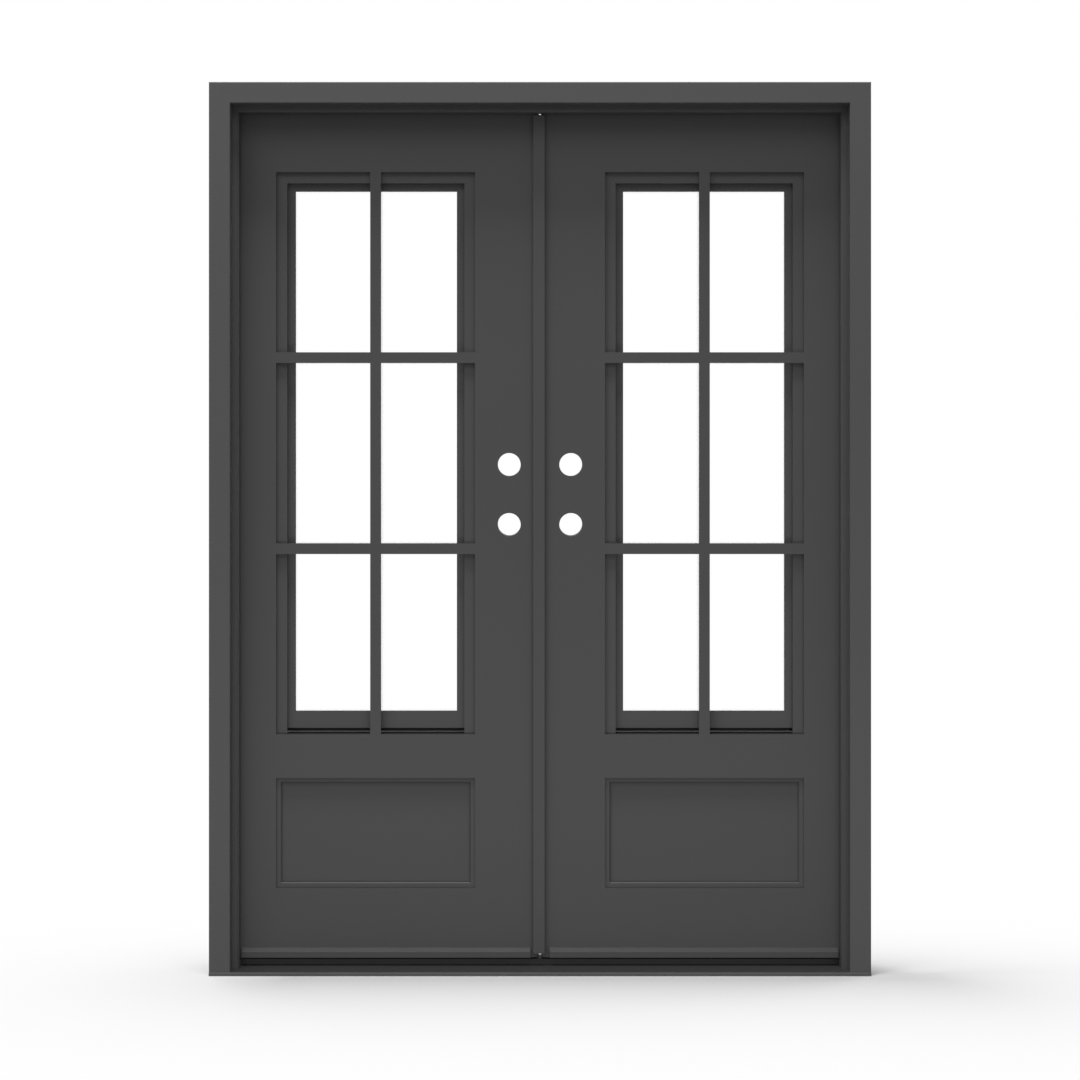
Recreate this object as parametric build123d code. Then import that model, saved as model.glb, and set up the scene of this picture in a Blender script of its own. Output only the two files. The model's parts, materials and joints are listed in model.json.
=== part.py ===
from build123d import *
import math
import os

# An inswing pair of iron doors in its frame, closed, seen from outside along +Y.
# X runs to the right, Y into the room and Z up, from the middle of the threshold's underside.
# Every piece of a leaf is drawn on the right, active side and mirrored for the left, passive leaf.

# Frame
overall_width = 1524
overall_height = 2057
frame_depth = 150
frame_face = 49
frame_wall = 2.5
tube_corner = 2.5
threshold_thickness = 8
threshold_nosing = 3
threshold_chamfer = 1
saddle_height = 13
saddle_setback = 8
saddle_chamfer = 1.5
anchor_hole_radius = 5
anchor_end_distance = 278.5
anchor_inner_share = 1 / 3
anchor_head_spacing = 700

# Door stops and the weatherstrip behind them
stop_setback = 41
stop_width = 15.5
stop_chamfer = 4.5
strip_width = 8
strip_thickness = 4.7
strip_corner = 1.5
seal_clearance = 0.3

# Leaves
leaf_setback = 86
leaf_side_gap = 5
leaf_head_gap = 5
leaf_floor_gap = 5
meeting_gap = 4.5
lock_bevel_angle = 3
hinge_stile_width = 92.25
lock_stile_width = 149.5
top_rail_height = 145
mid_rail_height = 102
bottom_rail_height = 162
kick_panel_height = 256.5

# Kick panel and its moulding, alike on both faces
moulding_setback = 6
moulding_width = 12
moulding_thickness = 8
moulding_chamfer = 2

# Glazing bars and the stops that the sash closes on
bar_width = 25
bar_thickness = 11
bar_spacing = 446
glass_stop_width = 25
glass_stop_thickness = 12
sash_seal_width = 10
sash_seal_thickness = 2.7

# Sash and its double glazing
sash_face = 38.5
sash_side_gap = 3.5
sash_head_gap = 3
sash_sill_gap = 12
sash_lip_width = 14.5
sash_lip_thickness = 8
pane_thickness = 5
pane_gap = 12
pane_edge_gap = 2.5
spacer_inset = 3
spacer_width = 6
bead_setback = 4.5
sash_foot_thickness = 8
sash_foot_clearance = 1

# Lock bores through the lock stiles, and the edge bores that meet them
bore_radius = 27
bore_spacing = 140
lower_bore_height = 1035.5
backset = 69.85
edge_bore_radius = 12.7

# Drip cap and bottom seal
drip_lift = 1
drip_height = 22
drip_slope_height = 8
drip_projection = 12
drip_meeting_clearance = 10
drip_side_clearance = 2
bottom_seal_width = 10
bottom_seal_setback = 3
bottom_seal_end_gap = 0.75

# Astragal on the passive leaf, and its seal
astragal_width = 29
astragal_shift = 2.4
astragal_thickness = 14
astragal_seal_thickness = 3
astragal_chamfer = 1.5
astragal_foot_gap = 11
astragal_head_gap = 13

# Door hinges
hinge_barrel_radius = 10
hinge_pin_radius = 6
hinge_length = 120
hinge_proud = 10.5
hinge_plate_thickness = 5
hinge_plate_relief = 1.5
hinge_strap_width = 36
hinge_jamb_plate_width = 36
hinge_foot_distance = 250
hinge_head_distance = 200
pin_head_radius = 8.5
pin_head_height = 4
pin_head_round = 1.5
knuckle_gap = 0.3
knuckle_count = 3
running_clearance = 0.05

# Sash hinges
sash_hinge_barrel_radius = 6
sash_hinge_pin_radius = 3
sash_hinge_length = 60
sash_hinge_proud = 6.5
sash_hinge_plate_thickness = 3
sash_hinge_plate_relief = 1
sash_hinge_plate_width = 22
sash_hinge_end_distance = 150

# Turn buttons
button_edge_distance = 14
button_end_distance = 300
button_hub_radius = 11
button_tip_radius = 7
button_reach = 46
button_thickness = 6
button_spindle_radius = 4
button_spindle_depth = 18
grip_length = 22
grip_width = 4
grip_height = 9

# Flush bolts
bolt_radius = 6
bolt_length = 150
bolt_edge_distance = 20
bolt_travel = 25
bolt_end_inset = 1
bolt_sliding_clearance = 0.1
bolt_keeper_clearance = 2
tab_width = 9
tab_height = 16
tab_rise = 12
slot_clearance = 1
edge_plate_width = 20
edge_plate_thickness = 2.5
edge_plate_margin = 14
edge_plate_inset = 0.3

# Overrun of every cut past the face it opens
overrun = 2

# Worked-out planes
front_y = -frame_depth / 2
room_y = frame_depth / 2
jamb_x = overall_width / 2 - frame_face
head_z = overall_height - frame_face
stop_x = jamb_x - stop_width
stop_front_y = front_y + stop_setback
leaf_y = front_y + leaf_setback
leaf_thickness = room_y - leaf_y
stop_back_y = leaf_y - seal_clearance - strip_thickness

leaf_in_x = meeting_gap / 2
leaf_out_x = jamb_x - leaf_side_gap
saddle_z = threshold_thickness + saddle_height
leaf_bottom_z = saddle_z + leaf_floor_gap
leaf_top_z = head_z - leaf_head_gap
lock_bevel = leaf_thickness * math.tan(math.radians(lock_bevel_angle))

light_in_x = leaf_in_x + lock_stile_width
light_out_x = leaf_out_x - hinge_stile_width
light_x = (light_in_x, light_out_x)
panel_z = (leaf_bottom_z + bottom_rail_height, leaf_bottom_z + bottom_rail_height + kick_panel_height)
light_z = (panel_z[1] + mid_rail_height, leaf_top_z - top_rail_height)
leaf_depth_y = (leaf_y, room_y)

bar_back_y = leaf_y + bar_thickness
glass_stop_back_y = bar_back_y + glass_stop_thickness
sash_y = glass_stop_back_y + sash_seal_thickness + seal_clearance
sash_x = (light_in_x + sash_side_gap, light_out_x - sash_side_gap)
sash_z = (light_z[0] + sash_sill_gap, light_z[1] - sash_head_gap)
rebate_inset = sash_face - sash_lip_width
glass_y = sash_y + sash_lip_thickness
inner_pane_y = glass_y + pane_thickness + pane_gap
bead_y = inner_pane_y + pane_thickness

anchor_y = (leaf_y + room_y) / 2
anchor_spacing = overall_height - 2 * anchor_end_distance
bore_x = leaf_in_x + backset
bore_heights = (lower_bore_height, lower_bore_height + bore_spacing)
astragal_x = (-astragal_shift - astragal_width / 2, -astragal_shift + astragal_width / 2)
astragal_z = (leaf_bottom_z + astragal_foot_gap, leaf_top_z - astragal_head_gap)

hinge_x = jamb_x - leaf_side_gap / 2
hinge_y = room_y + hinge_proud
hinge_heights = (
    leaf_bottom_z + hinge_foot_distance,
    (leaf_bottom_z + hinge_foot_distance + leaf_top_z - hinge_head_distance) / 2,
    leaf_top_z - hinge_head_distance,
)
sash_hinge_x = light_out_x - sash_side_gap / 2
sash_hinge_y = room_y + sash_hinge_proud
sash_hinge_heights = (sash_z[0] + sash_hinge_end_distance, sash_z[1] - sash_hinge_end_distance)

button_x = light_in_x - button_edge_distance
button_heights = {"lower": sash_z[0] + button_end_distance, "upper": sash_z[1] - button_end_distance}

bolt_x = leaf_in_x + bolt_edge_distance
bolt_y = (leaf_y + room_y) / 2
bolt_z = (leaf_top_z - bolt_end_inset - bolt_length, leaf_top_z - bolt_end_inset)
tab_z = (bolt_z[0] + tab_rise, bolt_z[0] + tab_rise + tab_height)
slot_z = (tab_z[0] - slot_clearance, tab_z[1] + bolt_travel + slot_clearance)
edge_plate_z = (slot_z[0] - edge_plate_margin, slot_z[1] + edge_plate_margin)
edge_plate_x = leaf_in_x + lock_bevel * (1 + edge_plate_width / leaf_thickness) / 2 + edge_plate_inset
leaf_middle_plane = Plane.XY.offset((leaf_bottom_z + leaf_top_z) / 2)


# Small shapes

def block(x_span, y_span, z_span):
    """A box between two places along each axis."""
    spans = (x_span, y_span, z_span)
    middle = [(low + high) / 2 for low, high in spans]
    return Pos(*middle) * Box(*[high - low for low, high in spans])


def upright(x, y, z_span, radius):
    """A round bar along Z."""
    return Pos(x, y, sum(z_span) / 2) * Cylinder(radius, z_span[1] - z_span[0])


def along_y(x, z, y_span, radius):
    """A round bar along Y."""
    return Pos(x, sum(y_span) / 2, z) * Rot(90, 0, 0) * Cylinder(radius, y_span[1] - y_span[0])


def along_x(y, z, x_span, radius):
    """A round bar along X."""
    return Pos(sum(x_span) / 2, y, z) * Rot(0, 90, 0) * Cylinder(radius, x_span[1] - x_span[0])


def section_along_x(points, x_span):
    """A profile drawn in Y and Z, run along X."""
    profile = Plane.YZ.offset(x_span[0]) * Polygon(*points, align=None)
    return extrude(profile, amount=x_span[1] - x_span[0], dir=(1, 0, 0))


def section_along_y(points, y_span):
    """An outline drawn in X and Z, run along Y."""
    outline = Plane.XZ.offset(-y_span[0]) * Polygon(*points, align=None)
    return extrude(outline, amount=y_span[1] - y_span[0], dir=(0, 1, 0))


def section_along_z(points, z_span):
    """A profile drawn in X and Y, run along Z."""
    profile = Pos(0, 0, z_span[0]) * Polygon(*points, align=None)
    return extrude(profile, amount=z_span[1] - z_span[0], dir=(0, 0, 1))


def inset(span, distance):
    """A span drawn in at both ends."""
    return (span[0] + distance, span[1] - distance)


def rectangle_corners(x_span, z_span):
    (left, right), (low, high) = x_span, z_span
    return [(left, low), (right, low), (right, high), (left, high)]


def mitred_bars(x_span, z_span, face, y_span):
    """Four bars mitred at the corners of an upright rectangle."""
    outer = rectangle_corners(x_span, z_span)
    inner = rectangle_corners(inset(x_span, face), inset(z_span, face))
    bars = []
    for start in range(len(outer)):
        end = (start + 1) % len(outer)
        bars.append(section_along_y([outer[start], outer[end], inner[end], inner[start]], y_span))
    return bars


def mirrored(shapes):
    """The left-hand twins of right-hand pieces."""
    return [mirror(shape, about=Plane.YZ) for shape in shapes]


# Frame pieces

def tube_section():
    """The hollow section of the jambs and head, face along X and depth along Y."""
    outside = RectangleRounded(frame_face, frame_depth, tube_corner)
    return outside - Rectangle(frame_face - 2 * frame_wall, frame_depth - 2 * frame_wall)


mitre_plane = Plane(origin=(jamb_x, 0, head_z), z_dir=(-1, 0, 1))
far_mitre_plane = Plane(origin=(-jamb_x, 0, head_z), z_dir=(1, 0, 1))


def jamb():
    """The right jamb, standing on the threshold and mitred at the head."""
    length = overall_height - threshold_thickness
    tube = Pos(jamb_x + frame_face / 2, 0, threshold_thickness) * extrude(tube_section(), amount=length)
    tube = split(tube, bisect_by=mitre_plane, keep=Keep.BOTTOM)
    for spacing in (anchor_spacing, anchor_spacing * anchor_inner_share):
        for end in (-1, 1):
            height = overall_height / 2 + end * spacing / 2
            reach = (jamb_x - overrun, overall_width / 2 + overrun)
            tube -= along_x(anchor_y, height, reach, anchor_hole_radius)
    return tube


def bolt_keeper(z_span):
    """The square slot that a flush bolt of the passive leaf shoots into."""
    half = bolt_radius + bolt_keeper_clearance
    return block((-bolt_x - half, -bolt_x + half), (bolt_y - half, bolt_y + half), z_span)


def head_jamb():
    """The head, mitred at both ends, with its anchor holes and the keeper slot of the upper bolt."""
    tube = extrude(tube_section(), amount=overall_width / 2, both=True)
    tube = Pos(0, 0, head_z + frame_face / 2) * Rot(0, 90, 0) * tube
    tube = split(tube, bisect_by=mitre_plane, keep=Keep.TOP)
    tube = split(tube, bisect_by=far_mitre_plane, keep=Keep.TOP)
    for end in (-1, 1):
        reach = (head_z - overrun, overall_height + overrun)
        tube -= upright(end * anchor_head_spacing / 2, anchor_y, reach, anchor_hole_radius)
    return tube - bolt_keeper((head_z - overrun, head_z + frame_wall + overrun))


def threshold():
    """A plate under both jambs with a saddle between them, and the keeper slot of the lower bolt."""
    half = overall_width / 2
    nose_y = front_y - threshold_nosing
    top = threshold_thickness
    cut = threshold_chamfer
    profile = [(nose_y, 0), (room_y, 0), (room_y, top), (nose_y + cut, top), (nose_y, top - cut)]
    plate = section_along_x(profile, (-half, half))
    rise_y = leaf_y + saddle_setback
    edge = saddle_chamfer
    profile = [
        (rise_y, top), (room_y, top), (room_y, saddle_z - edge),
        (room_y - edge, saddle_z), (rise_y, saddle_z),
    ]
    plate += section_along_x(profile, (-jamb_x, jamb_x))
    return plate - bolt_keeper((-overrun, saddle_z + overrun))


def door_stops():
    """Bars inside the jambs and under the head that the leaves close against, chamfered and mitred."""
    shoulder_y = stop_front_y + stop_chamfer
    section = [
        (0, stop_front_y), (0, stop_back_y), (stop_width, stop_back_y),
        (stop_width, shoulder_y), (stop_width - stop_chamfer, stop_front_y),
    ]
    side = section_along_z([(jamb_x - out, y) for out, y in section], (threshold_thickness, head_z))
    side = split(side, bisect_by=mitre_plane, keep=Keep.BOTTOM)
    top = section_along_x([(y, head_z - out) for out, y in section], (-jamb_x, jamb_x))
    top = split(top, bisect_by=mitre_plane, keep=Keep.TOP)
    top = split(top, bisect_by=far_mitre_plane, keep=Keep.TOP)
    return [side, top] + mirrored([side])


def frame_weatherstrip():
    """Rubber strips on the backs of the stops, just clear of the closed leaves."""
    section = RectangleRounded(strip_width, strip_thickness, strip_corner)
    strip_x = jamb_x - stop_width / 2
    strip_y = stop_back_y + strip_thickness / 2
    top_z = head_z - stop_width / 2
    rise = top_z - strip_width / 2 - threshold_thickness
    side = Pos(strip_x, strip_y, threshold_thickness) * extrude(section, amount=rise)
    top = Pos(0, strip_y, top_z) * Rot(0, 90, 0) * extrude(section, amount=strip_x + strip_width / 2, both=True)
    return [side, top] + mirrored([side])


# Leaf pieces

def hinge_stile():
    return block((light_out_x, leaf_out_x), leaf_depth_y, (leaf_bottom_z, leaf_top_z))


def lock_stile():
    """The stile at the meeting line, bevelled to clear the other leaf and bored for a lock set."""
    edge_x = leaf_in_x + lock_bevel
    profile = [(edge_x, leaf_y), (light_in_x, leaf_y), (light_in_x, room_y), (leaf_in_x, room_y)]
    stile = section_along_z(profile, (leaf_bottom_z, leaf_top_z))
    for height in bore_heights:
        stile -= along_y(bore_x, height, (leaf_y - overrun, room_y + overrun), bore_radius)
        stile -= along_x(bolt_y, height, (leaf_in_x - overrun, bore_x), edge_bore_radius)
    for height in button_heights.values():
        hole_y = (room_y - button_spindle_depth - seal_clearance, room_y + overrun)
        stile -= along_y(button_x, height, hole_y, button_spindle_radius + running_clearance)
    return stile


def rail(z_span):
    return block(light_x, leaf_depth_y, z_span)


def kick_panel():
    face = moulding_setback + moulding_thickness
    return block(light_x, inset(leaf_depth_y, face), panel_z)


def panel_moulding():
    """Mitred bars laid on both faces of the kick panel, chamfered towards it."""
    face = moulding_setback + moulding_thickness
    outside = mitred_bars(light_x, panel_z, moulding_width, (leaf_y + moulding_setback, leaf_y + face))
    inside = mitred_bars(light_x, panel_z, moulding_width, (room_y - face, room_y - moulding_setback))
    hollow_x, hollow_z = inset(light_x, moulding_width), inset(panel_z, moulding_width)
    middle = Pos(sum(light_x) / 2, 0, sum(panel_z) / 2)
    width, height = hollow_x[1] - hollow_x[0], hollow_z[1] - hollow_z[0]
    flare = 2 * moulding_chamfer
    mouth = Plane.XZ * Rectangle(width + flare, height + flare)
    throat = Plane.XZ.offset(-moulding_chamfer) * Rectangle(width, height)
    funnel = loft([mouth.face(), throat.face()])
    front_cut = middle * Pos(0, leaf_y + moulding_setback, 0) * funnel
    back_cut = middle * Pos(0, room_y - moulding_setback, 0) * mirror(funnel, about=Plane.XZ)
    return [bar - front_cut for bar in outside] + [bar - back_cut for bar in inside]


def bar_heights():
    middle = sum(light_z) / 2
    return {"lower": middle - bar_spacing / 2, "upper": middle + bar_spacing / 2}


def bar_span(middle):
    return (middle - bar_width / 2, middle + bar_width / 2)


def vertical_bar():
    """The upright glazing bar, halved at its back where the cross bars pass."""
    across = bar_span(sum(light_x) / 2)
    bar = block(across, (leaf_y, bar_back_y), light_z)
    for height in bar_heights().values():
        bar -= block(across, (leaf_y + bar_thickness / 2, bar_back_y), bar_span(height))
    return bar


def cross_bar(height):
    """A level glazing bar, halved at its face where the upright bar passes."""
    bar = block(light_x, (leaf_y, bar_back_y), bar_span(height))
    return bar - block(bar_span(sum(light_x) / 2), (leaf_y, leaf_y + bar_thickness / 2), bar_span(height))


def three_sides(width, y_span, edge):
    """Bars down both sides and across the top of the light, drawn in from its edge."""
    x_span = inset(light_x, edge)
    top = light_z[1] - edge
    left = block((x_span[0], x_span[0] + width), y_span, (light_z[0], top))
    right = block((x_span[1] - width, x_span[1]), y_span, (light_z[0], top))
    across = block(inset(x_span, width), y_span, (top - width, top))
    return [left, right, across]


def glass_stops():
    return three_sides(glass_stop_width, (bar_back_y, glass_stop_back_y), 0)


def sash_seal():
    edge = (glass_stop_width + sash_side_gap - sash_seal_width) / 2
    return three_sides(sash_seal_width, (glass_stop_back_y, glass_stop_back_y + sash_seal_thickness), edge)


def drip_cap():
    """A bar along the foot of the leaf with a sloping top that sheds rain."""
    foot = leaf_bottom_z + drip_lift
    nose_y = leaf_y - drip_projection
    shoulder = foot + drip_height - drip_slope_height
    profile = [(nose_y, foot), (leaf_y, foot), (leaf_y, foot + drip_height), (nose_y, shoulder)]
    return section_along_x(profile, (astragal_x[1] + drip_meeting_clearance, stop_x - drip_side_clearance))


def bottom_seal():
    """A rubber strip under the leaf, just clear of the saddle."""
    back = room_y - bottom_seal_setback
    ends = (leaf_in_x + bottom_seal_end_gap, leaf_out_x - bottom_seal_end_gap)
    return block(ends, (back - bottom_seal_width, back), (saddle_z + seal_clearance, leaf_bottom_z))


# Hinges, each with two outer knuckles on the fixed half and one between them on the moving half

def knuckle_spans(middle, length):
    knuckle = length / knuckle_count
    low, high = middle - length / 2, middle + length / 2
    fixed = [(low, low + knuckle - knuckle_gap), (high - knuckle + knuckle_gap, high)]
    moving = [(low + knuckle, high - knuckle)]
    return fixed, moving


def door_hinge_half(height, spans, toward, plate_width):
    """A plate on the room face with its knuckles round the hinge pin."""
    near = hinge_x + toward * (hinge_barrel_radius + hinge_plate_relief)
    far = near + toward * plate_width
    plate_y = (room_y, room_y + hinge_plate_thickness)
    half = block(sorted((near, far)), plate_y, (height - hinge_length / 2, height + hinge_length / 2))
    for span in spans:
        half += block(sorted((hinge_x, near)), plate_y, span)
        half += upright(hinge_x, hinge_y, span, hinge_barrel_radius)
    bore = (height - hinge_length, height + hinge_length)
    return half - upright(hinge_x, hinge_y, bore, hinge_pin_radius + running_clearance)


def jamb_hinge_halves():
    halves = []
    for height in hinge_heights:
        fixed, _ = knuckle_spans(height, hinge_length)
        halves.append(door_hinge_half(height, fixed, 1, hinge_jamb_plate_width))
    return halves + mirrored(halves)


def hinge_straps():
    straps = []
    for height in hinge_heights:
        _, moving = knuckle_spans(height, hinge_length)
        straps.append(door_hinge_half(height, moving, -1, hinge_strap_width))
    return straps


def hinge_pins():
    """Loose pins that hang by their heads on the upper knuckles."""
    pins = []
    for height in hinge_heights:
        top = height + hinge_length / 2
        pin = upright(hinge_x, hinge_y, (height - hinge_length / 2, top), hinge_pin_radius)
        head = upright(hinge_x, hinge_y, (top, top + pin_head_height), pin_head_radius)
        pins.append(pin + fillet(head.edges().group_by(Axis.Z)[-1], pin_head_round))
    return pins + mirrored(pins)


def sash_hinge_half(height, spans, toward):
    """A plate and knuckles beside the sash, without the pin or its bore."""
    near = sash_hinge_x + toward * (sash_hinge_barrel_radius + sash_hinge_plate_relief)
    far = near + toward * sash_hinge_plate_width
    plate_y = (room_y, room_y + sash_hinge_plate_thickness)
    ends = (height - sash_hinge_length / 2, height + sash_hinge_length / 2)
    half = block(sorted((near, far)), plate_y, ends)
    for span in spans:
        half += block(sorted((sash_hinge_x, near)), plate_y, span)
        half += upright(sash_hinge_x, sash_hinge_y, span, sash_hinge_barrel_radius)
    return half


def sash_hinge_plates():
    """The fixed halves, on the hinge stile."""
    plates = []
    for height in sash_hinge_heights:
        fixed, _ = knuckle_spans(height, sash_hinge_length)
        bore = (height - sash_hinge_length, height + sash_hinge_length)
        bore_size = sash_hinge_pin_radius + running_clearance
        hole = upright(sash_hinge_x, sash_hinge_y, bore, bore_size)
        plates.append(sash_hinge_half(height, fixed, 1) - hole)
    return plates


def sash_hinge_wings():
    """The moving halves, on the sash, each with its pin."""
    wings = []
    for height in sash_hinge_heights:
        _, moving = knuckle_spans(height, sash_hinge_length)
        pin = (height - sash_hinge_length / 2, height + sash_hinge_length / 2)
        wing = sash_hinge_half(height, moving, -1)
        wings.append(wing + upright(sash_hinge_x, sash_hinge_y, pin, sash_hinge_pin_radius))
    return wings


# Sash pieces

def sash_frame():
    """Four mitred bars with a rebate on the room side for the glass, and a foot that closes the sill gap."""
    rebate = block(inset(sash_x, rebate_inset), (glass_y, room_y + overrun), inset(sash_z, rebate_inset))
    bars = [bar - rebate for bar in mitred_bars(sash_x, sash_z, sash_face, (sash_y, room_y))]
    foot_y = (room_y - sash_foot_thickness, room_y)
    bars[0] += block(sash_x, foot_y, (light_z[0] + sash_foot_clearance, sash_z[0]))
    return bars


def glass_panes():
    edge = rebate_inset + pane_edge_gap
    x_span, z_span = inset(sash_x, edge), inset(sash_z, edge)
    return [block(x_span, (y, y + pane_thickness), z_span) for y in (glass_y, inner_pane_y)]


def pane_spacer():
    edge = rebate_inset + pane_edge_gap + spacer_inset
    depth = (glass_y + pane_thickness, inner_pane_y)
    x_span, z_span = inset(sash_x, edge), inset(sash_z, edge)
    hollow = block(inset(x_span, spacer_width), depth, inset(z_span, spacer_width))
    return block(x_span, depth, z_span) - hollow


def glazing_beads():
    x_span, z_span = inset(sash_x, rebate_inset), inset(sash_z, rebate_inset)
    return mitred_bars(x_span, z_span, sash_lip_width - bead_setback, (bead_y, room_y))


def turn_button(height):
    """A turned-up catch on the lock stile that swings down across the edge of the sash."""
    seat = room_y + seal_clearance
    face = Plane(origin=(button_x, seat, height), x_dir=(1, 0, 0), z_dir=(0, 1, 0))
    tip = Pos(0, -button_reach) * Circle(button_tip_radius)
    arm = make_hull(Circle(button_hub_radius).edges() + tip.edges())
    button = extrude(face * arm, amount=button_thickness)
    spindle = (room_y - button_spindle_depth, seat)
    button += along_y(button_x, height, spindle, button_spindle_radius)
    grip_top = height + button_reach
    grip_y = (seat + button_thickness, seat + button_thickness + grip_height)
    grip_x = (button_x - grip_width / 2, button_x + grip_width / 2)
    return button + block(grip_x, grip_y, (grip_top - grip_length, grip_top))


# Pieces of the passive leaf alone, drawn for the right and mirrored with it

def flush_bolt():
    """The upper bolt, drawn back into the lock stile, with the tab that slides it."""
    rod = upright(bolt_x, bolt_y, bolt_z, bolt_radius)
    tab_y = (bolt_y - tab_width / 2, bolt_y + tab_width / 2)
    return rod + block((edge_plate_x, bolt_x), tab_y, tab_z)


def edge_plate():
    """The plate let into the lock edge, with the slot that the tab slides in."""
    plate_y = (bolt_y - edge_plate_width / 2, bolt_y + edge_plate_width / 2)
    depth = (edge_plate_x, edge_plate_x + edge_plate_thickness)
    slot_width = tab_width / 2 + slot_clearance
    slot = block(depth, (bolt_y - slot_width, bolt_y + slot_width), slot_z)
    return block(depth, plate_y, edge_plate_z) - slot


def bolt_space():
    """What the upper bolt and its edge plate need cut out of the lock stile."""
    bottom = bolt_z[0] - slot_clearance
    bore = upright(bolt_x, bolt_y, (bottom, leaf_top_z + overrun), bolt_radius + bolt_sliding_clearance)
    slot_width = tab_width / 2 + slot_clearance
    slot = block((leaf_in_x, bolt_x), (bolt_y - slot_width, bolt_y + slot_width), slot_z)
    plate_y = (bolt_y - edge_plate_width / 2, bolt_y + edge_plate_width / 2)
    seat = block((leaf_in_x - overrun, edge_plate_x + edge_plate_thickness), plate_y, edge_plate_z)
    return bore + slot + seat


def upper_and_lower(shape):
    return [shape, mirror(shape, about=leaf_middle_plane)]


def astragal():
    """A bar on the passive leaf whose lip covers the meeting line and the edge of the active leaf."""
    face = leaf_y - astragal_thickness
    lip = leaf_y - seal_clearance - astragal_seal_thickness
    foot_x = -leaf_in_x - lock_bevel
    left, right = astragal_x
    cut = astragal_chamfer
    profile = [
        (left, leaf_y), (left, face + cut), (left + cut, face), (right - cut, face),
        (right, face + cut), (right, lip), (foot_x, lip), (foot_x, leaf_y),
    ]
    return section_along_z(profile, astragal_z)


def astragal_seal():
    back = leaf_y - seal_clearance
    depth = (back - astragal_seal_thickness, back)
    return block((leaf_in_x + lock_bevel, astragal_x[1]), depth, astragal_z)


# The nodes

def leaf_nodes():
    """The pieces that both leaves have, drawn for the active leaf."""
    heights = bar_heights()
    return {
        "hinge_stile": [hinge_stile()],
        "lock_stile": [lock_stile()],
        "top_rail": [rail((light_z[1], leaf_top_z))],
        "mid_rail": [rail((panel_z[1], light_z[0]))],
        "bottom_rail": [rail((leaf_bottom_z, panel_z[0]))],
        "kick_panel": [kick_panel()],
        "panel_moulding": panel_moulding(),
        "vertical_bar": [vertical_bar()],
        "upper_cross_bar": [cross_bar(heights["upper"])],
        "lower_cross_bar": [cross_bar(heights["lower"])],
        "glass_stops": glass_stops(),
        "sash_seal": sash_seal(),
        "drip_cap": [drip_cap()],
        "bottom_seal": [bottom_seal()],
        "hinge_straps": hinge_straps(),
        "sash_hinge_plates": sash_hinge_plates(),
        "sash_frame": sash_frame(),
        "glass_panes": glass_panes(),
        "pane_spacer": [pane_spacer()],
        "glazing_beads": glazing_beads(),
        "sash_hinge_wings": sash_hinge_wings(),
        "upper_button": [turn_button(button_heights["upper"])],
        "lower_button": [turn_button(button_heights["lower"])],
    }


def door_nodes():
    """Every node by name, each a list of solids."""
    right_jamb = jamb()
    nodes = {
        "jamb_right": [right_jamb],
        "jamb_left": mirrored([right_jamb]),
        "head_jamb": [head_jamb()],
        "threshold": [threshold()],
        "door_stops": door_stops(),
        "frame_weatherstrip": frame_weatherstrip(),
        "jamb_hinge_halves": jamb_hinge_halves(),
        "hinge_pins": hinge_pins(),
        "astragal": [astragal()],
        "astragal_seal": [astragal_seal()],
    }
    for piece, shapes in leaf_nodes().items():
        nodes[f"active_{piece}"] = shapes
        nodes[f"passive_{piece}"] = mirrored(shapes)
    upper_bolt, lower_bolt = mirrored(upper_and_lower(flush_bolt()))
    nodes["flush_bolt_upper"] = [upper_bolt]
    nodes["flush_bolt_lower"] = [lower_bolt]
    nodes["flush_bolt_plates"] = mirrored(upper_and_lower(edge_plate()))
    for space in mirrored(upper_and_lower(bolt_space())):
        nodes["passive_lock_stile"][0] -= space
    return nodes


os.makedirs("parts", exist_ok=True)
for name, shapes in door_nodes().items():
    solids = [solid for shape in shapes for solid in shape.solids()]
    export_step(solids[0] if len(solids) == 1 else Compound(children=solids), f"parts/{name}.step")
    print(name, len(solids))
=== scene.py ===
# %% [markdown]
# A pair of iron doors in its frame, seen from outside: dark powder coat, clear glass, empty lock bores.
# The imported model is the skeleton: every jamb, rail, bar and hinge is already there at its real size.
# It could all be drawn again as meshes, but then sizes would drift, so the frame is loaded and only dressed.

# %% Load the frame
import json
import math

import bmesh
import bpy
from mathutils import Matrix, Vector


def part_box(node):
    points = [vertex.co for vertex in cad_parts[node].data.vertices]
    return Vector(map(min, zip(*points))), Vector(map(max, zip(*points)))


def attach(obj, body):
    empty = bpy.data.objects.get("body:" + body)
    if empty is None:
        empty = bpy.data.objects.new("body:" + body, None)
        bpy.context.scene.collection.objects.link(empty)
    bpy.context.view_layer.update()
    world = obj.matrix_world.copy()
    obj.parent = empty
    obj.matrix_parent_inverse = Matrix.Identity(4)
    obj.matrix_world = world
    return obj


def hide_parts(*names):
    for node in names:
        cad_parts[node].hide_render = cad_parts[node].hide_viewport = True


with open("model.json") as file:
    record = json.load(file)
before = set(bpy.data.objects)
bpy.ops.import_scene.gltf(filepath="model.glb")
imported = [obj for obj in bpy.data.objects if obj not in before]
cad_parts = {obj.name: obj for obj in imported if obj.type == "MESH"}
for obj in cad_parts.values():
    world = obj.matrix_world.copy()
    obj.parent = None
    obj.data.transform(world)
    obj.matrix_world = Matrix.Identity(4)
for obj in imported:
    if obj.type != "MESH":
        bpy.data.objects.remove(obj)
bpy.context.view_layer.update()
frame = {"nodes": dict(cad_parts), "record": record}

nodes = frame["nodes"]
slots = {part["node"]: part["material_slot"] for part in frame["record"]["subparts"]}
bpy.ops.object.select_all(action="DESELECT")

# %% [markdown]
# Materials share a few effects, such as the fine pebble of a sprayed coat.
# Each could be wired again in every material, but a node group is built once and takes its own values each time.
# Groups give out masks and heights only; the shader itself stays in the material.

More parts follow.
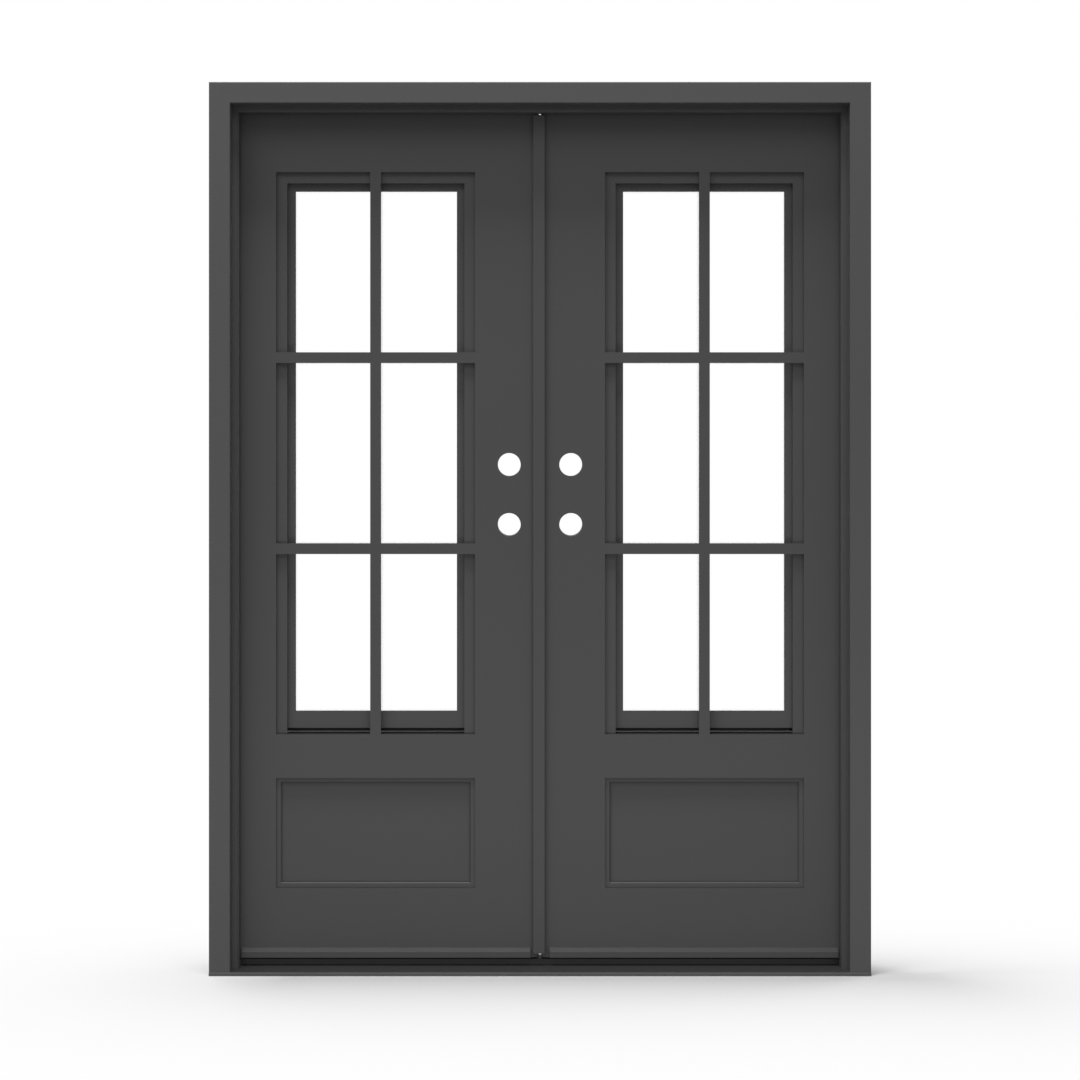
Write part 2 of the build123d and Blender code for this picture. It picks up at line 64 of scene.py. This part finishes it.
# %% Helpers for node groups and materials
def new_group(name, inputs, outputs):
    group = bpy.data.node_groups.new(name, "ShaderNodeTree")
    for label, value in inputs.items():
        socket = group.interface.new_socket(label, in_out="INPUT", socket_type="NodeSocketFloat")
        socket.default_value = value
    for label in outputs:
        group.interface.new_socket(label, in_out="OUTPUT", socket_type="NodeSocketFloat")
    return group, group.nodes.new("NodeGroupInput"), group.nodes.new("NodeGroupOutput")


def new_material(name):
    material = bpy.data.materials.new(name)
    material.use_nodes = True
    return material, material.node_tree, material.node_tree.nodes["Principled BSDF"]


def add_noise(tree, vector, detail):
    noise = tree.nodes.new("ShaderNodeTexNoise")
    noise.inputs["Detail"].default_value = detail
    tree.links.new(vector, noise.inputs["Vector"])
    return noise


def add_range(tree, value, reached, given=(0, 1)):
    """Leads a span of given values to a span of reached ones."""
    span = tree.nodes.new("ShaderNodeMapRange")
    for label, (least, most) in (("From", given), ("To", reached)):
        span.inputs[f"{label} Min"].default_value = least
        span.inputs[f"{label} Max"].default_value = most
    tree.links.new(value, span.inputs["Value"])
    return span.outputs["Result"]


# %% [markdown]
# A sprayed coat is never quite even: it has a fine pebble and, over a hand's breadth, slow clouds in its tone.
# A picture of a coat could be laid on, but it would stretch and show its edge; noise in the object's own space
# has neither. One group holds both noises, and a helper leads them to the colour, the roughness and a slight bump.

# %% A group for the grain of sprayed and moulded surfaces
def build_surface_grain():
    group, given, result = new_group("surface_grain", {"Grain Scale": 900, "Cloud Scale": 3}, ["Height", "Tone"])
    place = group.nodes.new("ShaderNodeTexCoord").outputs["Object"]
    grain = add_noise(group, place, detail=2)
    cloud = add_noise(group, place, detail=3)
    group.links.new(given.outputs["Grain Scale"], grain.inputs["Scale"])
    group.links.new(given.outputs["Cloud Scale"], cloud.inputs["Scale"])
    group.links.new(grain.outputs["Fac"], result.inputs["Height"])
    group.links.new(cloud.outputs["Fac"], result.inputs["Tone"])
    return group


surface_grain = build_surface_grain()
relief_strength = 0.3


def add_grain(tree, shader, tones, roughness, grain_scale, cloud_scale, bump):
    """Wires the grain group to a shader's colour, roughness and bump."""
    grain = tree.nodes.new("ShaderNodeGroup")
    grain.node_tree = surface_grain
    grain.inputs["Grain Scale"].default_value = grain_scale
    grain.inputs["Cloud Scale"].default_value = cloud_scale
    mix = tree.nodes.new("ShaderNodeMix")
    mix.data_type = "RGBA"
    mix.inputs["A"].default_value = (*tones[0], 1)
    mix.inputs["B"].default_value = (*tones[1], 1)
    tree.links.new(grain.outputs["Tone"], mix.inputs["Factor"])
    tree.links.new(mix.outputs["Result"], shader.inputs["Base Color"])
    tree.links.new(add_range(tree, grain.outputs["Tone"], roughness), shader.inputs["Roughness"])
    relief = tree.nodes.new("ShaderNodeBump")
    relief.inputs["Distance"].default_value = bump
    relief.inputs["Strength"].default_value = relief_strength
    tree.links.new(grain.outputs["Height"], relief.inputs["Height"])
    tree.links.new(relief.outputs["Normal"], shader.inputs["Normal"])


print("made group", surface_grain.name)

# %% [markdown]
# All the iron has one powder coat. On the leaves the faces that look up, such as the top of a drip cap, are darkened
# with painted shade. They could be picked one by one, but the way a face looks says the same:
# the more it looks up, the more painted shade it takes. The frame has a slightly paler copy of the coat, painted light
# on its faces.

# %% Dark powder coat
coat_shine = 0.3
satin = (0.5, 0.56)
leaf_tones = ((0.0488, 0.0486, 0.0492), (0.0512, 0.051, 0.0516))
# a slightly paler copy of the leaf tones: painted light on the frame
frame_lit_tones = ((0.0632, 0.0624, 0.0632), (0.066, 0.0652, 0.066))
# painted shade for the faces that look up
upward_painted_shade = (0.012, 0.012, 0.012)


def new_coat(name, tones, roughness):
    """A material with the pebble of sprayed powder, in two close tones."""
    coat, tree, shader = new_material(name)
    shader.inputs["Specular IOR Level"].default_value = coat_shine
    add_grain(tree, shader, tones, roughness, grain_scale=1400, cloud_scale=2.5, bump=0.00004)
    return coat, tree, shader


def add_second_tone(tree, shader, mask, tone):
    """Mixes another tone into the base colour by a mask."""
    first = shader.inputs["Base Color"].links[0].from_socket
    mix = tree.nodes.new("ShaderNodeMix")
    mix.data_type = "RGBA"
    mix.inputs["B"].default_value = (*tone, 1)
    tree.links.new(mask, mix.inputs["Factor"])
    tree.links.new(first, mix.inputs["A"])
    tree.links.new(mix.outputs["Result"], shader.inputs["Base Color"])


dark_paint, tree, shader = new_coat("dark_paint", leaf_tones, satin)
# how much a face looks up leads the painted shade into the colour
facing = tree.nodes.new("ShaderNodeSeparateXYZ")
tree.links.new(tree.nodes.new("ShaderNodeNewGeometry").outputs["Normal"], facing.inputs["Vector"])
add_second_tone(tree, shader, facing.outputs["Z"], upward_painted_shade)
# the frame's coat, with the painted light of its paler tones
frame_paint, tree, shader = new_coat("frame_paint", frame_lit_tones, satin)
print("made", dark_paint.name, frame_paint.name)

# %% [markdown]
# The threshold has a paler copy of the coat, painted light on its front nose, and a slightly rougher finish worn by
# feet. Behind the nose it is darkened with painted shade.
# A second material on the tread would do, but then the faces would have to be picked out one by one.
# Instead the depth decides: from just behind the nose, the coat takes the painted shade tone.

# %% Coat of the threshold
worn_satin = (0.52, 0.6)
# a paler copy of the coat: painted light on the nose
sill_lit_tones = ((0.068, 0.0676, 0.0682), (0.072, 0.0716, 0.0722))
# painted shade for the tread behind the nose
tread_painted_shade = (0.02, 0.0198, 0.02)
shade_begins, shade_full = 0.0003, 0.0015

sill_paint, tree, shader = new_coat("sill_paint", sill_lit_tones, worn_satin)
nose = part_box("threshold")[0][1]
depth = tree.nodes.new("ShaderNodeSeparateXYZ")
tree.links.new(tree.nodes.new("ShaderNodeTexCoord").outputs["Object"], depth.inputs["Vector"])
# from just behind the nose the colour turns to the painted shade
behind_nose = add_range(tree, depth.outputs["Y"], (0, 1), given=(nose + shade_begins, nose + shade_full))
add_second_tone(tree, shader, behind_nose, tread_painted_shade)
print("made", sill_paint.name)

# %% [markdown]
# The lights are plain clear glass, so the white studio shows through almost untouched.
# A see-through shader with a painted shine would render sooner, but real refraction gives the edges and the
# reflections for nothing: full transmission, no roughness, and the index of window glass.

# %% Clear glass
window_glass_index = 1.5

clear_glass, tree, shader = new_material("clear_glass")
shader.inputs["Base Color"].default_value = (1, 1, 1, 1)
shader.inputs["Roughness"].default_value = 0
shader.inputs["IOR"].default_value = window_glass_index
shader.inputs["Transmission Weight"].default_value = 1
print("made", clear_glass.name)

# %% [markdown]
# Some pieces have no coat on the real doors: the black rubber seals, the steel of pins, bolts and screws,
# and the dark bar that keeps the two panes apart. Each could be one flat colour, but the grain group is there
# already, and with other values it gives rubber its dull skin and steel its uneven shine.

# %% Rubber, steel and the dark spacer
rubber_tones = ((0.012, 0.012, 0.012), (0.02, 0.02, 0.02))
steel_tones = ((0.42, 0.42, 0.43), (0.52, 0.52, 0.53))
spacer_tones = ((0.02, 0.02, 0.02), (0.03, 0.03, 0.03))

black_rubber, tree, shader = new_material("black_rubber")
add_grain(tree, shader, rubber_tones, (0.65, 0.8), grain_scale=1500, cloud_scale=8, bump=0.0002)
bare_steel, tree, shader = new_material("bare_steel")
shader.inputs["Metallic"].default_value = 1
add_grain(tree, shader, steel_tones, (0.25, 0.4), grain_scale=2200, cloud_scale=30, bump=0.0001)
spacer_metal, tree, shader = new_material("spacer_metal")
add_grain(tree, shader, spacer_tones, (0.4, 0.5), grain_scale=1800, cloud_scale=20, bump=0.0001)
print("made", black_rubber.name, bare_steel.name, spacer_metal.name)

# %% [markdown]
# Every node of the loaded frame names the slot of its finish. Materials could be dropped on the pieces one by one,
# but a table from slot to material dresses them all and misses none.
# Only the frame and the threshold then take their own variants of the coat.

# %% Give every node its material
finishes = {
    "dark_paint": dark_paint,
    "clear_glass": clear_glass,
    "black_rubber": black_rubber,
    "bare_steel": bare_steel,
    "spacer_metal": spacer_metal,
}
for name, node in nodes.items():
    node.data.materials.clear()
    node.data.materials.append(finishes[slots[name]])
for name in ("jamb_left", "jamb_right", "head_jamb"):
    nodes[name].data.materials[0] = frame_paint
nodes["threshold"].data.materials[0] = sill_paint
print("painted", len(nodes), "nodes")

# %% [markdown]
# The new pieces below are modelled as by hand: a primitive is added, shaped in edit mode, and finished.
# Edit-mode tools act on what is selected, so small helpers open one piece and pick its faces or edges by place.
# A finished piece has its place in its mesh and its object at the origin, as the loaded nodes have.

# %% Helpers for modelling
tolerance = 1e-5
smooth_below = 35


def select_only(*pieces):
    bpy.ops.object.select_all(action="DESELECT")
    for piece in pieces:
        piece.select_set(True)
    bpy.context.view_layer.objects.active = pieces[0]


def edit(piece):
    select_only(piece)
    bpy.ops.object.mode_set(mode="EDIT")


def pick_faces(piece, test):
    """Selects the faces whose middle and normal pass a test."""
    bpy.ops.mesh.select_mode(type="FACE")
    bpy.ops.mesh.select_all(action="DESELECT")
    mesh = bmesh.from_edit_mesh(piece.data)
    for face in mesh.faces:
        face.select_set(test(face.calc_center_median(), face.normal))
    bmesh.update_edit_mesh(piece.data)


def pick_edges(piece, test):
    """Selects the edges whose two ends pass a test together."""
    bpy.ops.mesh.select_mode(type="EDGE")
    bpy.ops.mesh.select_all(action="DESELECT")
    mesh = bmesh.from_edit_mesh(piece.data)
    for edge in mesh.edges:
        if test(*[corner.co for corner in edge.verts]):
            edge.select_set(True)
    bmesh.update_edit_mesh(piece.data)


def push(*way):
    """Extrudes what is selected by a step along X, Y and Z."""
    bpy.ops.mesh.extrude_region_move(TRANSFORM_OT_translate={"value": way})


def close_piece(piece, angle=smooth_below):
    """Points the faces outwards, leaves edit mode and smooths the shallow edges."""
    bpy.ops.mesh.select_all(action="SELECT")
    bpy.ops.mesh.normals_make_consistent(inside=False)
    bpy.ops.object.mode_set(mode="OBJECT")
    bpy.ops.object.shade_smooth_by_angle(angle=math.radians(angle))


def settle(piece, name, body, slot):
    """Puts the place into the mesh, then gives the piece its finish and the body it moves with."""
    select_only(piece)
    bpy.ops.object.transform_apply(location=True, rotation=True, scale=True)
    piece.name = name
    piece.data.name = name
    piece.data.materials.clear()
    piece.data.materials.append(finishes[slot])
    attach(piece, body)
    print("made", name, len(piece.data.polygons), "faces, rides on", body)


# %% [markdown]
# The hinge plates on the room side are held by countersunk screws with a cross recess.
# A round disc with a painted cross would do from afar, but a sunk recess catches light as the real one does.
# One head is modelled: the top is inset, cut along both arms of the cross, and the arms are pushed down.

# %% One screw head
plate_screw_radius = 0.0042
small_screw_radius = 0.0029
facing_room = (math.radians(-90), 0, 0)


def screw_head(radius):
    height = 0.4 * radius
    dish_radius = 0.66 * radius
    arm = 0.13 * radius
    bpy.ops.mesh.primitive_cylinder_add(vertices=16, radius=radius, depth=height)
    screw = bpy.context.object
    edit(screw)

    def on_top(middle, normal):
        return normal.z > 0.9

    def in_dish(middle, normal):
        return on_top(middle, normal) and middle.xy.length < dish_radius

    def in_cross(middle, normal):
        return in_dish(middle, normal) and min(abs(middle.x), abs(middle.y)) < 0.5 * arm

    def on_rim(end):
        return end.z > 0.475 * height and end.xy.length > 0.98 * radius

    pick_faces(screw, on_top)
    bpy.ops.mesh.inset(thickness=0.32 * radius, depth=-0.04 * radius)
    for side in (-arm, arm):
        for way in ((1, 0, 0), (0, 1, 0)):
            pick_faces(screw, in_dish)
            bpy.ops.mesh.bisect(plane_co=Vector(way) * side, plane_no=way)
    pick_faces(screw, in_cross)
    push(0, 0, -0.22 * radius)
    pick_edges(screw, lambda *ends: all(map(on_rim, ends)))
    bpy.ops.mesh.bevel(offset=0.08 * radius, segments=2)
    close_piece(screw)
    return screw


plate_screw = screw_head(plate_screw_radius)
small_screw = screw_head(small_screw_radius)
print("screw head faces", len(plate_screw.data.polygons))

# %% [markdown]
# Each plate of a door hinge takes four screws in two staggered rows, so that no two pull on the same line.
# Their places could be typed in, but they are measured from the plates, so they follow if the doors change size.
# The screws on a leaf swing with it and those on a jamb stay, so they are joined into separate pieces.

# %% Screws of the door hinges
leaf_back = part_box("active_hinge_stile")[1][1]
door_plate = leaf_back + 0.005
sunk = 0.0006
half_door_hinge = 0.06
plate_pattern = ((0.010, -0.046), (0.025, -0.017), (0.010, 0.017), (0.025, 0.046))


def copy_of(pattern, place, turn):
    select_only(pattern)
    bpy.ops.object.duplicate()
    piece = bpy.context.object
    piece.location = place
    piece.rotation_euler = turn
    return piece


def set_screws(name, pattern, places, turn, body, slot):
    """Copies a head to every place, joins the copies and lets them ride on one body."""
    select_only(*[copy_of(pattern, place, turn) for place in places])
    bpy.ops.object.join()
    settle(bpy.context.object, name, body, slot)


def plate_places(edge, inward, heights):
    """Four staggered places on each door hinge plate, from its free edge inwards."""
    return [(edge + inward * across, door_plate - sunk, height + along)
            for height in heights for across, along in plate_pattern]


jamb_low, jamb_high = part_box("jamb_hinge_halves")
for side, sign in (("active", 1), ("passive", -1)):
    low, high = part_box(f"{side}_hinge_straps")
    heights = [low[2] + half_door_hinge, (low[2] + high[2]) / 2, high[2] - half_door_hinge]
    leaf_edge, jamb_edge = (low[0], jamb_high[0]) if sign > 0 else (high[0], jamb_low[0])
    places = plate_places(leaf_edge, sign, heights)
    set_screws(f"{side}_strap_screws", plate_screw, places, facing_room, f"{side}_leaf", "bare_steel")
    places = plate_places(jamb_edge, -sign, heights)
    set_screws(f"{side}_jamb_screws", plate_screw, places, facing_room, "frame", "bare_steel")

# %% [markdown]
# The small hinges of the glazed sashes have two screws to a plate, and the bolt plates have one at each end.
# A scatter over the faces could set them, but screws sit where holes were drilled, so every place is worked out.
# The patterns are no longer needed after this, and are taken away.

# %% Screws of the sash hinges and of the flush bolt plates
sash_plate = leaf_back + 0.003
small_sunk = sunk * 0.7
half_sash_hinge = 0.03
sash_screw_inset, sash_screw_reach = 0.010, 0.019
bolt_plate_length, bolt_screw_inset = 0.071, 0.007
facing_lock_edge = (0, math.radians(90), 0)

for side, sign in (("active", 1), ("passive", -1)):
    for node, body, way in (("sash_hinge_plates", "leaf", -sign), ("sash_hinge_wings", "sash", sign)):
        low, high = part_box(f"{side}_{node}")
        free_edge = high[0] if way < 0 else low[0]
        heights = (low[2] + half_sash_hinge, high[2] - half_sash_hinge)
        places = [(free_edge + way * sash_screw_inset, sash_plate - small_sunk, height + along)
                  for height in heights for along in (-sash_screw_reach, sash_screw_reach)]
        set_screws(f"{side}_{node}_screws", small_screw, places, facing_room, f"{side}_{body}", "bare_steel")

low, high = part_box("flush_bolt_plates")
middle_y = (low[1] + high[1]) / 2
lower_plate = (low[2] + bolt_screw_inset, low[2] + bolt_plate_length - bolt_screw_inset)
upper_plate = (high[2] - bolt_plate_length + bolt_screw_inset, high[2] - bolt_screw_inset)
places = [(high[0] - small_sunk, middle_y, height) for height in lower_plate + upper_plate]
set_screws("flush_bolt_plate_screws", small_screw, places, facing_lock_edge, "passive_leaf", "bare_steel")
for pattern in (plate_screw, small_screw):
    bpy.data.objects.remove(pattern)

# %% [markdown]
# Each turn button pivots on a round-headed screw. A sphere cut in half and flattened gives its dome, and a slot is
# sunk across it. One head could be drawn into all the buttons, but each button turns by itself, so every head is
# its own piece and rides on its own button.

# %% Button pivots
pivot_radius = 0.0065
grip_height = 0.009
hub_radius = 0.011


def pivot_head(radius):
    slot = 0.11 * radius
    bpy.ops.mesh.primitive_uv_sphere_add(segments=20, ring_count=12, radius=radius)
    head = bpy.context.object
    edit(head)
    bpy.ops.mesh.select_all(action="SELECT")
    bpy.ops.mesh.bisect(plane_co=(0, 0, 0), plane_no=(0, 0, 1), clear_inner=True, use_fill=True)
    bpy.ops.mesh.select_all(action="SELECT")
    bpy.ops.transform.resize(value=(1, 1, 0.5))
    for side in (-slot, slot):
        bpy.ops.mesh.select_all(action="SELECT")
        bpy.ops.mesh.bisect(plane_co=(side, 0, 0), plane_no=(1, 0, 0))
    pick_faces(head, lambda middle, normal: abs(middle.x) < slot and middle.z > 0.25 * radius and normal.z > 0.3)
    push(0, 0, -0.16 * radius)
    close_piece(head)
    return head


pivot = pivot_head(pivot_radius)
button_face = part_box("active_upper_button")[1][1] - grip_height
for side in ("active", "passive"):
    for level in ("upper", "lower"):
        low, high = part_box(f"{side}_{level}_button")
        head = copy_of(pivot, ((low[0] + high[0]) / 2, button_face, low[2] + hub_radius), facing_room)
        settle(head, f"{side}_{level}_button_pivot", f"{side}_{level}_button", "bare_steel")
bpy.data.objects.remove(pivot)

# %% [markdown]
# The panes are bedded in a narrow black gasket, which shows as a dark line round the glass on both faces.
# A tube along a path could make it, but its corners would need care. A plane inset to a ring and extruded has
# clean mitres at once, and its inner edge is then rounded with a bevel.

# %% Glazing gaskets
lip = 0.0385
bead = 0.034
sash_foot = 0.011
front_width, back_width = 0.0012, 0.002
gasket_height = 0.003


def flat_ring(x_span, z_span, width, y):
    """A flat rectangular ring in the plane y, left open in edit mode."""
    bpy.ops.mesh.primitive_plane_add(size=1, rotation=(math.radians(90), 0, 0))
    ring = bpy.context.object
    ring.scale = (x_span[1] - x_span[0], z_span[1] - z_span[0], 1)
    ring.location = (sum(x_span) / 2, y, sum(z_span) / 2)
    bpy.ops.object.transform_apply(location=True, rotation=True, scale=True)
    edit(ring)
    bpy.ops.mesh.select_all(action="SELECT")
    bpy.ops.mesh.inset(thickness=width)
    bpy.ops.mesh.delete(type="FACE")
    bpy.ops.mesh.select_all(action="SELECT")
    return ring


def gasket_ring(x_span, z_span, width, y_from, y_to):
    """A ring that stands on the plane y_from, with its inner edge rounded at y_to."""
    ring = flat_ring(x_span, z_span, width, y_from)
    push(0, y_to - y_from, 0)

    def inside(value, span):
        return span[0] + 0.5 * width < value < span[1] - 0.5 * width

    def on_inner_edge(end):
        return abs(end.y - y_to) < tolerance and inside(end.x, x_span) and inside(end.z, z_span)

    pick_edges(ring, lambda *ends: all(map(on_inner_edge, ends)))
    bpy.ops.mesh.bevel(offset=0.8 * width, segments=3)
    close_piece(ring)
    return ring


for side in ("active", "passive"):
    low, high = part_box(f"{side}_sash_frame")
    glass_low, glass_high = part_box(f"{side}_glass_panes")
    for name, edge, width, y_from, y_to in (
        ("front_gasket", lip, front_width, glass_low[1], glass_low[1] - gasket_height),
        ("back_gasket", bead, back_width, glass_high[1], glass_high[1] + gasket_height),
    ):
        x_span = (low[0] + edge, high[0] - edge)
        z_span = (low[2] + sash_foot + edge, high[2] - edge)
        ring = gasket_ring(x_span, z_span, width, y_from, y_to)
        settle(ring, f"{side}_{name}", f"{side}_sash", "black_rubber")

# %% [markdown]
# Weatherstrips are soft bulbs, not flat bars: a domed face that the leaf or sash presses on.
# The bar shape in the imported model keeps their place, and a softer piece stands in for it here.
# The same ring is used, opened at the foot, with both edges of its face rounded into a dome.

# %% Bulb seals of the frame and the sashes
frame_seal_width = 0.008
sash_seal_width = 0.010
bulb_smooth_below = 50


def bulb_seal(node, width, body):
    low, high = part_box(node)
    thickness = high[1] - low[1]
    below = low[2] - 2 * width
    seal = flat_ring((low[0], high[0]), (below, high[2]), width, low[1])
    bpy.ops.mesh.bisect(plane_co=(0, 0, low[2]), plane_no=(0, 0, 1), clear_inner=True)
    bpy.ops.mesh.select_all(action="SELECT")
    push(0, thickness, 0)

    def along_face(start, end):
        on_face = min(start.y, end.y) > high[1] - tolerance
        level = abs(start.z - end.z) < tolerance and start.z > low[2] + tolerance
        upright = abs(start.x - end.x) < tolerance
        return on_face and (level or upright)

    pick_edges(seal, along_face)
    bpy.ops.mesh.bevel(offset=0.85 * min(thickness, width / 2), segments=4)
    close_piece(seal, bulb_smooth_below)
    settle(seal, f"{node}_bulb", body, "black_rubber")
    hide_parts(node)


bulb_seal("frame_weatherstrip", frame_seal_width, "frame")
for side in ("active", "passive"):
    bulb_seal(f"{side}_sash_seal", sash_seal_width, f"{side}_leaf")

# %% [markdown]
# The seal under each leaf is a comb of three soft fins. Three thin blocks side by side would do, but they would
# hang apart. So one block is cut into five strips from end to end, and the second and fourth are pushed up,
# which leaves the fins standing.

# %% Fins under the leaves
strip_count = 5
grooves = (1, 3)
groove_depth = 0.0026


def finned_seal(node, body):
    low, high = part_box(node)
    strip = (high[1] - low[1]) / strip_count
    bpy.ops.mesh.primitive_cube_add(size=1)
    seal = bpy.context.object
    seal.scale = [high[axis] - low[axis] for axis in range(3)]
    seal.location = [(high[axis] + low[axis]) / 2 for axis in range(3)]
    bpy.ops.object.transform_apply(location=True, rotation=True, scale=True)
    edit(seal)
    for step in range(1, strip_count):
        bpy.ops.mesh.select_all(action="SELECT")
        bpy.ops.mesh.bisect(plane_co=(0, low[1] + step * strip, 0), plane_no=(0, 1, 0))
    for index in grooves:
        groove_y = low[1] + (index + 0.5) * strip
        pick_faces(seal, lambda middle, normal: normal.z < -0.9 and abs(middle.y - groove_y) < 0.1 * strip)
        push(0, 0, groove_depth)
    pick_edges(seal, lambda *ends: all(end.z < low[2] + tolerance for end in ends))
    bpy.ops.mesh.bevel(offset=0.1 * strip, segments=2)
    close_piece(seal)
    settle(seal, f"{node}_fins", body, "black_rubber")
    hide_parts(node)


for side in ("active", "passive"):
    finned_seal(f"{side}_bottom_seal", f"{side}_leaf")

# %% [markdown]
# Rolled and forged pieces have no knife edges. The hinges, buttons, drip caps and astragal get a small live bevel.
# The loaded meshes are loose triangles, so a weld joins them first, and only true corners are rounded.
# The welded members of the leaves and the frame are left sharp, because a bevel would open their flush joints.

# %% Soft edges on the loose-standing pieces
weld_distance = 0.00001
edge_round = 0.0005
corner_from = 40

rounded = ["jamb_hinge_halves", "astragal", "flush_bolt_plates"]
for side in ("active", "passive"):
    for piece in ("hinge_straps", "sash_hinge_plates", "sash_hinge_wings", "drip_cap", "upper_button", "lower_button"):
        rounded.append(f"{side}_{piece}")
for name in rounded:
    weld = nodes[name].modifiers.new("join_triangles", "WELD")
    weld.merge_threshold = weld_distance
    soft = nodes[name].modifiers.new("soft_edge", "BEVEL")
    soft.width = edge_round
    soft.segments = 2
    soft.limit_method = "ANGLE"
    soft.angle_limit = math.radians(corner_from)
print("rounded", len(rounded), "nodes")

# %% [markdown]
# A white studio shows white, but must not flood the doors with light from all sides, or no edge would show.
# White cards could be hidden from the lamps one by one. Instead one mask tells what is looked at, directly, in a
# mirror or through glass, from the light that falls on things, and floor and dome both ask it.

# %% A mask for what is seen directly
def add_step(tree, kind, operation, *given):
    """Adds a Math or Vector Math node; what it is given are sockets or plain values."""
    node = tree.nodes.new(kind)
    node.operation = operation
    for socket, value in zip(node.inputs, given):
        if isinstance(value, bpy.types.NodeSocket):
            tree.links.new(value, socket)
        else:
            socket.default_value = value
    return node.outputs


def number_step(tree, operation, *given):
    return add_step(tree, "ShaderNodeMath", operation, *given)["Value"]


def vector_step(tree, operation, *given):
    return add_step(tree, "ShaderNodeVectorMath", operation, *given)["Vector"]


def seen_directly(tree):
    """1 for rays from the camera, in mirrors and through glass; 0 for the light that falls on things."""
    path = tree.nodes.new("ShaderNodeLightPath").outputs
    plain_or_mirror = number_step(tree, "MAXIMUM", path["Is Camera Ray"], path["Is Glossy Ray"])
    return number_step(tree, "MAXIMUM", plain_or_mirror, path["Is Transmission Ray"])


# %% [markdown]
# The photo has a white studio floor that fades into white. A sheet curved up behind would do, but the doors are
# looked through, so the floor itself fades to plain white some way off, and stays a real surface near the doors.
# The painted white glow begins sooner on the left than on the right, so the shadow is kept on the right. The floor
# throws back little light of its own, or the ledges of the doors would lose their dark lines.

# %% Floor
floor_size = 60
fade_rate = -3.5
floor_thrown, floor_seen = 0.2, 0.47
# where the painted glow begins: sooner on the left than on the right, where the shadow is kept
to_right_and_back = ((1, 2, 0), (-0.92, 0.1, 0))
to_left_and_front = ((-1, -1, 0), (-0.57, -0.11, 0))

bpy.ops.mesh.primitive_plane_add(size=floor_size, location=(0, 0, 0))
floor = bpy.context.object
floor.name = "studio_floor"
studio_white = bpy.data.materials.new("studio_white")
studio_white.use_nodes = True
tree = studio_white.node_tree
tree.nodes.clear()

place = tree.nodes.new("ShaderNodeTexCoord").outputs["Object"]
right_and_back = vector_step(tree, "MULTIPLY_ADD", place, *to_right_and_back)
left_and_front = vector_step(tree, "MULTIPLY_ADD", place, *to_left_and_front)
outside = vector_step(tree, "MAXIMUM", vector_step(tree, "MAXIMUM", right_and_back, left_and_front), (0, 0, 0))
distance = add_step(tree, "ShaderNodeVectorMath", "LENGTH", outside)["Value"]
shadow = number_step(tree, "EXPONENT", number_step(tree, "MULTIPLY", distance, fade_rate))
fade = number_step(tree, "SUBTRACT", 1, shadow)
direct = seen_directly(tree)

matt = tree.nodes.new("ShaderNodeBsdfDiffuse")
tree.links.new(add_range(tree, direct, (floor_thrown, floor_seen)), matt.inputs["Color"])
# the floor's painted white glow
painted_glow = tree.nodes.new("ShaderNodeEmission")
blend = tree.nodes.new("ShaderNodeMixShader")
tree.links.new(number_step(tree, "MULTIPLY", direct, fade), blend.inputs["Fac"])
tree.links.new(matt.outputs["BSDF"], blend.inputs[1])
tree.links.new(painted_glow.outputs["Emission"], blend.inputs[2])
output = tree.nodes.new("ShaderNodeOutputMaterial")
tree.links.new(blend.outputs["Shader"], output.inputs["Surface"])
floor.data.materials.append(studio_white)
print("made", floor.name, "in", studio_white.name)

# %% [markdown]
# The leaves are dim under the head and even lower down, and every ledge lays a dark line below it: most of the light
# falls steeply from a box high overhead. Two boxes in front fill the faces, and a low strip lifts the foot.
# A bright dome alone would be simpler, but then every face would have one tone and no edge would show.
# Two boxes behind light the room side. The dome's own level is low, and the white that the camera sees is set apart.

# %% World and lamps
dome_thrown, dome_seen = 0.2, 1
box = (2.5, 2.5)

world = bpy.data.worlds.new("studio_dome")
bpy.context.scene.world = world
world.use_nodes = True
tree = world.node_tree
dome = tree.nodes["Background"]
dome.inputs["Color"].default_value = (1, 1, 1, 1)
tree.links.new(add_range(tree, seen_directly(tree), (dome_thrown, dome_seen)), dome.inputs["Strength"])


def add_lamp(name, place, aim, size, watts):
    bpy.ops.object.light_add(type="AREA", location=place)
    lamp = bpy.context.object
    lamp.name = name
    lamp.data.shape = "RECTANGLE"
    lamp.data.size, lamp.data.size_y = size
    lamp.data.energy = watts
    lamp.visible_camera = False
    lamp.visible_transmission = False
    lamp.rotation_euler = (Vector(aim) - lamp.location).to_track_quat("-Z", "Y").to_euler()
    return lamp


lamps = [
    add_lamp("overhead_box", place=(-0.3, -1.9, 9.0), aim=(-0.3, -1.9, 0), size=(3.0, 1.6), watts=700),
    add_lamp("front_left_box", place=(-3.25, -3.25, 5.6), aim=(0, 0, 1), size=box, watts=94),
    add_lamp("front_box", place=(0, -4.6, 5.6), aim=(0, 0, 1), size=box, watts=69),
    add_lamp("low_front_strip", place=(0, -1.75, 0.12), aim=(0, 0, 0.25), size=(3.0, 0.2), watts=9.2),
    add_lamp("back_left_box", place=(-2.2, 3.2, 5.5), aim=(0, 0, 0.8), size=box, watts=150),
    add_lamp("back_right_box", place=(3.6, 2.4, 3.6), aim=(0, 0, 1.0), size=box, watts=90),
]
print("made", world.name, "and", len(lamps), "lamps")

# %% [markdown]
# The photo is level and square on, from about six metres, with the vanishing row above the middle of the picture.
# Tilting the camera would lean the jambs, so it stays level and the frame is shifted instead.

# %% Camera
eye_distance, eye_height = 6.075, 1.233

bpy.ops.object.camera_add(location=(0, -eye_distance, eye_height), rotation=(math.radians(90), 0, 0))
camera = bpy.context.object
camera.data.sensor_width = 36
camera.data.lens = 86.94
camera.data.shift_y = -0.0926
camera.data.clip_end = 200
bpy.context.scene.camera = camera
bpy.context.scene.view_settings.view_transform = "Standard"
print("camera", camera.data.lens)
